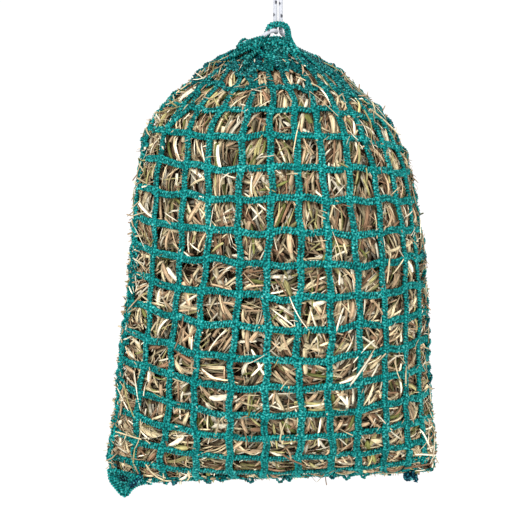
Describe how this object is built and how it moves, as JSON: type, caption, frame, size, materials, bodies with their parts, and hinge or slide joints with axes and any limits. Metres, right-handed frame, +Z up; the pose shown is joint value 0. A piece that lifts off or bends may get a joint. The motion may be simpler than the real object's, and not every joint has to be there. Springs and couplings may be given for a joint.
{
  "type": "hay net",
  "caption": "Closed square-mesh netting bag filled with hay, gathered at the mouth and hung from a doubled drawcord with a knotted eye.",
  "frame": {"origin": "inside the top of the hanging eye, where a hook or ring bears", "axes": "+Z up the drawcord, front panel facing -Y, +X to the right as seen from the front"},
  "size_m": [0.3708, 0.2586, 0.6584],
  "materials": {
    "hanging_eye": "matte",
    "hanging_knot": "matte",
    "drawcord_leg_left": "matte",
    "drawcord_leg_right": "matte",
    "drawcord_mouth": "matte",
    "mouth_loop": "matte",
    "mouth_border": "matte",
    "net_front": "matte",
    "net_back": "matte",
    "lacing_left": "matte",
    "lacing_right": "matte",
    "lacing_bottom": "matte",
    "corner_knot_left": "matte",
    "corner_knot_right": "matte",
    "hay_core": "matte"
  },
  "bodies": {
    "hanger": {"hanging_eye": "hanging_eye"},
    "knot": {"hanging_knot": "hanging_knot"},
    "cord_legs": {"drawcord_leg_left": "drawcord_leg_left", "drawcord_leg_right": "drawcord_leg_right"},
    "bag": {"drawcord_mouth": "drawcord_mouth", "mouth_loop": "mouth_loop", "mouth_border": "mouth_border", "net_front": "net_front", "net_back": "net_back", "lacing_left": "lacing_left", "lacing_right": "lacing_right", "lacing_bottom": "lacing_bottom", "corner_knot_left": "corner_knot_left", "corner_knot_right": "corner_knot_right", "hay_core": "hay_core"}
  },
  "joints": [
    {"name": "cord_twist", "type": "hinge", "parent": "hanger", "child": "knot", "pos_m": [0, 0, -0.0455], "axis": [0, 0, 1], "range_deg": [-180, 180]},
    {"name": "fore_aft_swing", "type": "hinge", "parent": "knot", "child": "cord_legs", "pos_m": [0, 0, -0.0725], "axis": [1, 0, 0], "range_deg": [-40, 40]},
    {"name": "side_swing", "type": "hinge", "parent": "cord_legs", "child": "bag", "pos_m": [0, 0, -0.121], "axis": [0, 1, 0], "range_deg": [-30, 30]}
  ]
}
